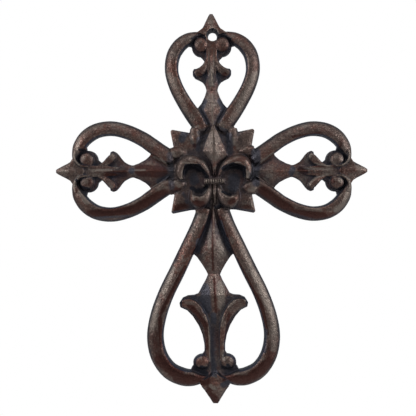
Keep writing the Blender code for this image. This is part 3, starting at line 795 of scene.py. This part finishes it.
def patina_and_light_places(mesh, relief, corner):
    """Where painted shade and patina gather and where hands have rubbed it: how open and how proud each
    point is.

    The loops' inner walls and the nail hole get the most painted shade, and the back is evenly brown.
    """
    points = points_of(mesh)
    across, out, level = points.T
    normals = np.empty(len(points) * 3)
    mesh.vertices.foreach_get("normal", normals)
    normals = normals.reshape(-1, 3)
    openness = np.zeros(len(points))
    for turn in np.linspace(0, 2 * pi, SIGHT_LINES, endpoint=False):
        highest = np.zeros(len(points))
        for reach in SIGHT_REACHES:
            seen = sampled(relief, corner, across + reach * cos(turn), out + reach * sin(turn))
            highest = np.maximum(highest, (seen - level) / reach)
        openness += 1 - highest / np.sqrt(1 + highest ** 2)
    openness /= SIGHT_LINES
    metal = (relief > 0).astype(float)
    around = blurred(relief, FINE_BLUR) / np.maximum(blurred(metal, FINE_BLUR), 1e-3)
    proud = level - sampled(around, corner, across, out)
    # Steep walls facing the loops' openings, which get painted shade with patina
    near_opening = blurred(openings(relief).astype(float), WALL_BLUR)
    ahead = points + normals * 0.001
    inner = np.clip(sampled(near_opening, corner, ahead[:, 0], ahead[:, 1]) * 2.0, 0, 1)
    inner *= np.clip((0.84 - normals[:, 2]) / 0.30, 0, 1)
    # The nail hole's walls get full painted shade
    hole = np.hypot(across - HOLE_ASIDE, out - HEAD_ARM + HOLE_BELOW_TIP) < 1.06 * HOLE_FACE_RADIUS
    openness = np.where(hole & (normals[:, 2] < 0.8), HOLE_OPENNESS, openness)
    # How far each place lies below its broad surroundings, for painted shade in low places
    country = blurred(relief, BROAD_BLUR) / np.maximum(blurred(metal, BROAD_BLUR), 1e-3)
    low_lying = sampled(country, corner, across, out) - level
    left, right = COLLAR
    tie_middle = (left[0] + right[0]) / 2000 + FLEUR_ASIDE
    tie = np.abs(across - tie_middle) < TIE_HALF_WIDTH
    tie &= np.abs(out - left[1] / 1000) < TIE_HALF_HEIGHT
    tie &= level > 0.9 * COLLAR_TOP
    # The tie's top gets a middling openness, so the blue-black darkens it in part
    openness = np.where(tie, TIE_OPENNESS, openness)
    back = normals[:, 2] < -0.3
    openness = np.where(back, BACK_OPENNESS, openness)
    plain = tie | back
    proud = np.where(plain, 0, proud)
    store(mesh, "openness", openness)
    store(mesh, "proud", proud * 1000)
    store(mesh, "inner_wall_shade", np.where(back, 0, inner))
    store(mesh, "low_lying", np.where(plain, 0, low_lying) * 1000)
    for name, strokes in PATINA_AND_PAINTED_LIGHT.items():
        store(mesh, name, np.where(back, 0, laid(strokes, across, out)))


def casting():
    """The whole cross as one skin, lying on its back."""
    forms = plate() + fleur_de_lis()
    for arm in ARMS:
        forms += looped_arm(*arm)
    cross = new_object("iron_cross", mesh_of(forms, "iron_cross"))

    remesh = cross.modifiers.new("one_skin", "REMESH")
    remesh.mode = "VOXEL"
    remesh.voxel_size = VOXEL
    remesh.use_smooth_shade = True
    evaluated(cross)

    taper = (HOLE_FACE_RADIUS - HOLE_BACK_RADIUS) / FINIAL_TOP
    radii = (HOLE_BACK_RADIUS, HOLE_FACE_RADIUS + taper * FINIAL_TOP)
    bore = post((HOLE_ASIDE, HEAD_ARM - HOLE_BELOW_TIP), radii, 2 * FINIAL_TOP, 48)
    bore[0][:48, 2] = -0.001
    cutter = new_object("nail", mesh_of([bore], "nail"))
    cut = cross.modifiers.new("nail_hole", "BOOLEAN")
    cut.operation = "DIFFERENCE"
    cut.solver = "EXACT"
    cut.object = cutter
    evaluated(cross)
    bpy.data.objects.remove(cutter)

    rounding = cross.modifiers.new("cast_edges", "SMOOTH")
    rounding.factor = 0.5
    rounding.iterations = ROUNDING_PASSES
    evaluated(cross)

    relief, corner = relief_map(points_of(cross.data))
    triangles = sum(len(face.vertices) - 2 for face in cross.data.polygons)
    if triangles > MOST_TRIANGLES:
        thinning = cross.modifiers.new("thinning", "DECIMATE")
        thinning.ratio = MOST_TRIANGLES / triangles
        evaluated(cross)
    points = sanded(points_of(cross.data))
    points[points[:, 2] < BACK_LEVEL, 2] = 0.0
    cross.data.vertices.foreach_set("co", points.ravel())
    cross.data.update()
    patina_and_light_places(cross.data, relief, corner)
    return cross


def sanded(points):
    """The points moved in and out as a sand mould leaves them, with the flat back left flat."""
    moved = points.copy()
    for index, place in enumerate(points):
        if place[2] > SAND_FROM:
            here = Vector(place) / SAND_SIZE
            fine = noise.noise(here * 2.3) * 0.6
            moved[index, 2] += SAND_DEPTH * (noise.noise(here) + fine)
            moved[index, 0] += SAND_DEPTH * 0.5 * noise.noise(here + Vector((7, 0, 0)))
            moved[index, 1] += SAND_DEPTH * 0.5 * noise.noise(here + Vector((0, 7, 0)))
    return moved


def put(tree, socket, value):
    """The socket linked to another one, or set to a value."""
    if isinstance(value, bpy.types.NodeSocket):
        tree.links.new(value, socket)
    else:
        socket.default_value = value


def add_node(tree, kind, inputs=(), **settings):
    """A node in the tree, with its settings made before its inputs are put in."""
    node = tree.nodes.new(kind)
    for name, value in settings.items():
        setattr(node, name, value)
    for socket, value in dict(inputs).items():
        put(tree, node.inputs[socket], value)
    return node


def stroke_tree(finish):
    """Nodes that lay a row of plain rounded strokes, each a little different, for the tie."""
    tree = bpy.data.node_groups.new("tie_strokes", "GeometryNodeTree")
    sockets = {}
    for name, kind in (
        ("Strokes", "NodeSocketInt"), ("Row Length", "NodeSocketFloat"),
        ("Stroke Height", "NodeSocketFloat"), ("Stroke Width", "NodeSocketFloat"),
        ("Stroke Rise", "NodeSocketFloat"), ("Seed", "NodeSocketInt"),
    ):
        sockets[name] = tree.interface.new_socket(name, in_out="INPUT", socket_type=kind).identifier
    tree.interface.new_socket("Geometry", in_out="INPUT", socket_type="NodeSocketGeometry")
    tree.interface.new_socket("Geometry", in_out="OUTPUT", socket_type="NodeSocketGeometry")
    given = tree.nodes.new("NodeGroupInput").outputs
    made = tree.nodes.new("NodeGroupOutput")

    def add(kind, inputs=(), **settings):
        return add_node(tree, kind, inputs, **settings)

    def maths(operation, first, second):
        return add("ShaderNodeMath", {0: first, 1: second}, operation=operation).outputs[0]

    gaps = maths("SUBTRACT", given["Strokes"], 1.0)
    step = add("ShaderNodeCombineXYZ", {"X": maths("DIVIDE", given["Row Length"], gaps)})
    start = add("ShaderNodeCombineXYZ", {"X": maths("MULTIPLY", given["Row Length"], -0.5)})
    row = add("GeometryNodeMeshLine", {
        "Count": given["Strokes"], "Start Location": start.outputs[0], "Offset": step.outputs[0],
    })
    round_form = add("GeometryNodeMeshUVSphere", {"Segments": 14, "Rings": 8, "Radius": 1.0})
    tall = add("FunctionNodeRandomValue", {2: 0.82, 3: 1.0, "Seed": given["Seed"]}, data_type="FLOAT")
    lean = add("FunctionNodeRandomValue", {2: -0.10, 3: 0.10, "Seed": maths("ADD", given["Seed"], 1.0)},
               data_type="FLOAT")
    size = add("ShaderNodeCombineXYZ", {
        "X": given["Stroke Width"],
        "Y": maths("MULTIPLY", given["Stroke Height"], tall.outputs[1]),
        "Z": given["Stroke Rise"],
    })
    slant = add("ShaderNodeCombineXYZ", {"Z": lean.outputs[1]})
    strokes = add("GeometryNodeInstanceOnPoints", {
        "Points": row.outputs[0], "Instance": round_form.outputs[0], "Rotation": slant.outputs[0],
        "Scale": size.outputs[0],
    })
    plain = add("GeometryNodeRealizeInstances", {"Geometry": strokes.outputs[0]})
    coated = add("GeometryNodeSetMaterial", {"Geometry": plain.outputs[0], "Material": finish})
    tree.links.new(coated.outputs[0], made.inputs[0])
    return tree, sockets


def tie_strokes(finish):
    """The row of strokes on the collar, lying down as the casting is drawn."""
    tree, sockets = stroke_tree(finish)
    strokes = new_object("tie_strokes", bpy.data.meshes.new("tie_strokes"))
    nodes = strokes.modifiers.new("strokes", "NODES")
    nodes.node_group = tree
    for name, value in (
        ("Strokes", STROKES), ("Row Length", STROKE_ROW), ("Stroke Height", STROKE_HALF_HEIGHT),
        ("Stroke Width", STROKE_HALF_WIDTH), ("Stroke Rise", STROKE_RISE), ("Seed", STROKE_SEED),
    ):
        nodes[sockets[name]] = value
    evaluated(strokes)
    left, right = COLLAR
    middle = ((left[0] + right[0]) / 2000 + FLEUR_ASIDE, left[1] / 1000, STROKE_TOP - STROKE_RISE)
    strokes.data.transform(Matrix.Translation(middle))
    count = len(strokes.data.vertices)
    store(strokes.data, "openness", np.full(count, STROKE_OPENNESS))
    store(strokes.data, "proud", np.full(count, STROKE_PROUD))
    for name in ("inner_wall_shade", "low_lying", *PATINA_AND_PAINTED_LIGHT):
        store(strokes.data, name, np.zeros(count))
    return strokes


def stand_up(obj):
    obj.data.transform(Matrix.Rotation(radians(90), 4, "X"))
    obj.data.polygons.foreach_set("use_smooth", [True] * len(obj.data.polygons))
    return obj


class Nodes:
    """A material's nodes, made and linked by short calls."""

    def __init__(self, name):
        self.material = bpy.data.materials.new(name)
        self.material.use_nodes = True
        self.tree = self.material.node_tree
        self.shader = self.tree.nodes["Principled BSDF"]

    def add(self, kind, inputs=(), **settings):
        return add_node(self.tree, kind, inputs, **settings)

    def finish(self, socket, value):
        put(self.tree, self.shader.inputs[socket], value)

    def noise(self, size, detail, rough, where):
        """Noise whose blotches are about that size, in metres."""
        node = self.add("ShaderNodeTexNoise", {
            "Vector": where, "Scale": 1 / size, "Detail": detail, "Roughness": rough,
        })
        return node.outputs["Fac"]

    def ramp(self, value, low, high, start=0.0, end=1.0):
        """The value taken smoothly from low to high."""
        node = self.add("ShaderNodeMapRange", {
            "Value": value, "From Min": low, "From Max": high, "To Min": start, "To Max": end,
        }, interpolation_type="SMOOTHSTEP")
        return node.outputs["Result"]

    def sums(self, operation, first, second):
        node = self.add("ShaderNodeMath", {0: first, 1: second}, operation=operation)
        return node.outputs[0]

    def mix(self, share, first, second):
        node = self.add("ShaderNodeMix", {0: share, 6: first, 7: second}, data_type="RGBA")
        return node.outputs[2]


def iron():
    """Brown patina with redder blotches and rubbed paler where it is proud, with blue-black painted shade
    and patina in the recesses, and painted shadow and painted highlights laid in strokes.
    """
    n = Nodes("worn_brown_iron")
    where = n.add("ShaderNodeTexCoord").outputs["Object"]
    openness = n.add("ShaderNodeAttribute", attribute_name="openness").outputs["Fac"]
    proud = n.add("ShaderNodeAttribute", attribute_name="proud").outputs["Fac"]
    inner_wall_shade = n.add("ShaderNodeAttribute", attribute_name="inner_wall_shade").outputs["Fac"]
    low_lying = n.add("ShaderNodeAttribute", attribute_name="low_lying").outputs["Fac"]
    places = {name: n.add("ShaderNodeAttribute", attribute_name=name).outputs["Fac"] for name in PATINA_AND_PAINTED_LIGHT}
    broad = n.noise(BROAD_SIZE, 3, 0.6, where)
    blotch = n.noise(BLOTCH_SIZE, 4, 0.65, where)
    mottle = n.noise(MOTTLE_SIZE, 4, 0.70, where)
    speck = n.noise(SPECK_SIZE, 2, 0.6, where)

    reddish = n.ramp(n.sums("ADD", broad, n.sums("MULTIPLY", mottle, 0.25)), 0.52, 0.78)
    colour = n.mix(reddish, BROWN, RED_BROWN)
    colour = n.mix(n.ramp(blotch, 0.50, 0.70, 0.0, 0.55), colour, DARK_BROWN)
    greyed = n.sums("ADD", n.noise(GREY_SIZE, 4, 0.7, where), n.sums("MULTIPLY", mottle, 0.4))
    colour = n.mix(n.ramp(greyed, 0.70, 0.84, 0.0, 0.7), colour, GREY_TAN)
    rubbed = n.ramp(n.sums("ADD", proud, n.sums("MULTIPLY", mottle, 1.6)), 1.30, 2.00, 0.0, 0.8)
    colour = n.mix(rubbed, colour, RUBBED)
    # Painted shade, with patina: blue-black where the openness is low, except where the clear strokes lift
    # it, and in low-lying places
    recess_shade_and_patina = n.ramp(n.sums("ADD", openness, n.sums("MULTIPLY", blotch, 0.30)), 0.57, 0.98, 0.9, 0.0)
    shade_kept = n.sums("SUBTRACT", 1.0, places["clear"])
    recess_shade_and_patina = n.sums("MULTIPLY", recess_shade_and_patina, shade_kept)
    # Painted deep shadow where the deep strokes lie
    deep_shade = n.ramp(n.sums("ADD", places["deep_shade"], n.sums("MULTIPLY", mottle, 0.4)), 0.35, 1.0, 0.0, 0.95)
    recess_shade_and_patina = n.sums("MAXIMUM", recess_shade_and_patina, deep_shade)
    low_lying_shade = n.ramp(n.sums("ADD", low_lying, n.sums("MULTIPLY", blotch, 1.6)), 0.9, 2.6, 0.0, 0.85)
    low_lying_shade = n.sums("MULTIPLY", low_lying_shade, shade_kept)
    recess_shade_and_patina = n.sums("MAXIMUM", recess_shade_and_patina, low_lying_shade)
    colour = n.mix(n.ramp(speck, 0.53, 0.66, 0.0, 0.65), colour, DARK_BROWN)
    colour = n.mix(n.ramp(speck, 0.44, 0.34, 0.0, 0.35), colour, RUBBED)
    dark = recess_shade_and_patina
    # Strokes: rust red with painted shade, painted highlights with some rubbed wear, and painted shade in
    # blue-grey; the red and the blue-grey also darken
    for name, tone, most in (("rust_and_shade", RUST_AND_SHADE_RED, 0.9), ("highlight_and_wear", HIGHLIGHT_AND_WEAR_TAN, 0.78), ("blue_shade", SHADE_BLUE_GREY, 0.9)):
        cover = n.sums("ADD", places[name], n.sums("MULTIPLY", n.sums("ADD", mottle, blotch), 0.35))
        cover = n.ramp(cover, 0.45, 1.15, 0.0, most)
        colour = n.mix(cover, colour, tone)
        if name != "highlight_and_wear":
            dark = n.sums("MAXIMUM", dark, cover)
    # Painted shade, with patina, on the loops' inner walls
    colour = n.mix(n.ramp(inner_wall_shade, 0.1, 0.9, 0.0, 0.95), colour, WALL_SHADE_BLUE)
    colour = n.mix(recess_shade_and_patina, colour, SHADE_AND_PATINA_BLUE_BLACK)
    # Painted deep shadow, near black
    colour = n.mix(deep_shade, colour, DEEP_SHADE_BLACK)
    n.finish("Base Color", colour)

    rough = n.sums("ADD", n.ramp(mottle, 0.35, 0.65, 0.32, 0.50), n.sums("MULTIPLY", recess_shade_and_patina, 0.16))
    n.finish("Roughness", rough)
    # Metallic rises where painted shade or the red strokes lie, which darkens those places further
    n.finish("Metallic", n.ramp(dark, 0.0, 1.0, METALLIC, DARK_METALLIC))
    n.finish("Specular IOR Level", SPECULAR)

    coarse = n.sums("ADD", mottle, n.sums("MULTIPLY", blotch, 1.5))
    grain = n.sums("ADD", n.sums("MULTIPLY", speck, 0.6), coarse)
    bump = n.add("ShaderNodeBump", {"Strength": 0.6, "Distance": GRAIN_DEPTH, "Height": grain})
    n.finish("Normal", bump.outputs[0])
    return n.material


def camera():
    """The photograph's view: square to the casting, near the middle of its height, with a slight roll."""
    data = bpy.data.cameras.new("camera")
    data.angle = 2 * atan(HALF_VIEW)
    obj = bpy.data.objects.new("camera", data)
    bpy.context.scene.collection.objects.link(obj)
    place = Matrix.Translation(CAMERA_PLACE)
    upright = Matrix.Rotation(radians(90), 4, "X")
    obj.matrix_world = place @ upright @ Matrix.Rotation(radians(CAMERA_ROLL), 4, "Z")
    bpy.context.scene.camera = obj


def soft_box(name, place, size, power, colour):
    data = bpy.data.lights.new(name, "AREA")
    data.shape = "RECTANGLE"
    data.size, data.size_y = size
    data.energy = power
    data.color = colour
    obj = bpy.data.objects.new(name, data)
    obj.location = place
    obj.rotation_euler = (-Vector(place)).to_track_quat("-Z", "Y").to_euler()
    bpy.context.scene.collection.objects.link(obj)


def studio():
    """Pale floor below, a white room, and soft boxes at both sides and above."""
    camera()
    for box in SOFT_BOXES:
        soft_box(*box)
    world = bpy.data.worlds.new("room")
    bpy.context.scene.world = world
    world.use_nodes = True
    tree = world.node_tree
    tree.nodes.clear()
    seen = add_node(tree, "ShaderNodeBackground", {"Color": (1, 1, 1, 1), "Strength": 1.0})
    around = add_node(tree, "ShaderNodeTexCoord")
    parts = add_node(tree, "ShaderNodeSeparateXYZ", {0: around.outputs["Generated"]})
    behind = add_node(tree, "ShaderNodeMapRange", {
        "Value": parts.outputs["Y"], "From Min": -0.1, "From Max": 0.5, "To Min": FRONT_GLOW,
        "To Max": BACK_GLOW,
    }, interpolation_type="SMOOTHSTEP")
    above = add_node(tree, "ShaderNodeMapRange", {
        "Value": parts.outputs["Z"], "From Min": -0.7, "From Max": 0.3, "To Min": FLOOR_SHARE,
        "To Max": 1.0,
    })
    strength = add_node(tree, "ShaderNodeMath", {
        0: behind.outputs["Result"], 1: above.outputs["Result"],
    }, operation="MULTIPLY")
    shed = add_node(tree, "ShaderNodeBackground", {
        "Color": (0.9, 0.95, 1.0, 1), "Strength": strength.outputs[0],
    })
    path = add_node(tree, "ShaderNodeLightPath")
    mix = add_node(tree, "ShaderNodeMixShader", {
        0: path.outputs["Is Camera Ray"], 1: shed.outputs[0], 2: seen.outputs[0],
    })
    add_node(tree, "ShaderNodeOutputWorld", {"Surface": mix.outputs[0]})
    bpy.context.scene.view_settings.view_transform = "Standard"

    floor = new_object("floor", bpy.data.meshes.new("floor"))
    shape = bmesh.new()
    place = Matrix.Translation((0, 0, FLOOR_LEVEL))
    bmesh.ops.create_circle(shape, cap_ends=True, radius=FLOOR_RADIUS, segments=96, matrix=place)
    shape.to_mesh(floor.data)
    shape.free()
    pale = bpy.data.materials.new("pale_floor")
    pale.use_nodes = True
    paint = pale.node_tree.nodes["Principled BSDF"].inputs
    paint["Base Color"].default_value = (0.85, 0.85, 0.84, 1)
    paint["Roughness"].default_value = 0.7
    floor.data.materials.append(pale)


studio()
iron_material = iron()
cross = stand_up(casting())
strokes = stand_up(tie_strokes(iron_material))
cross.data.materials.clear()
cross.data.materials.append(iron_material)
for piece in (cross, strokes):
    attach(piece, "root")
    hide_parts("cross")
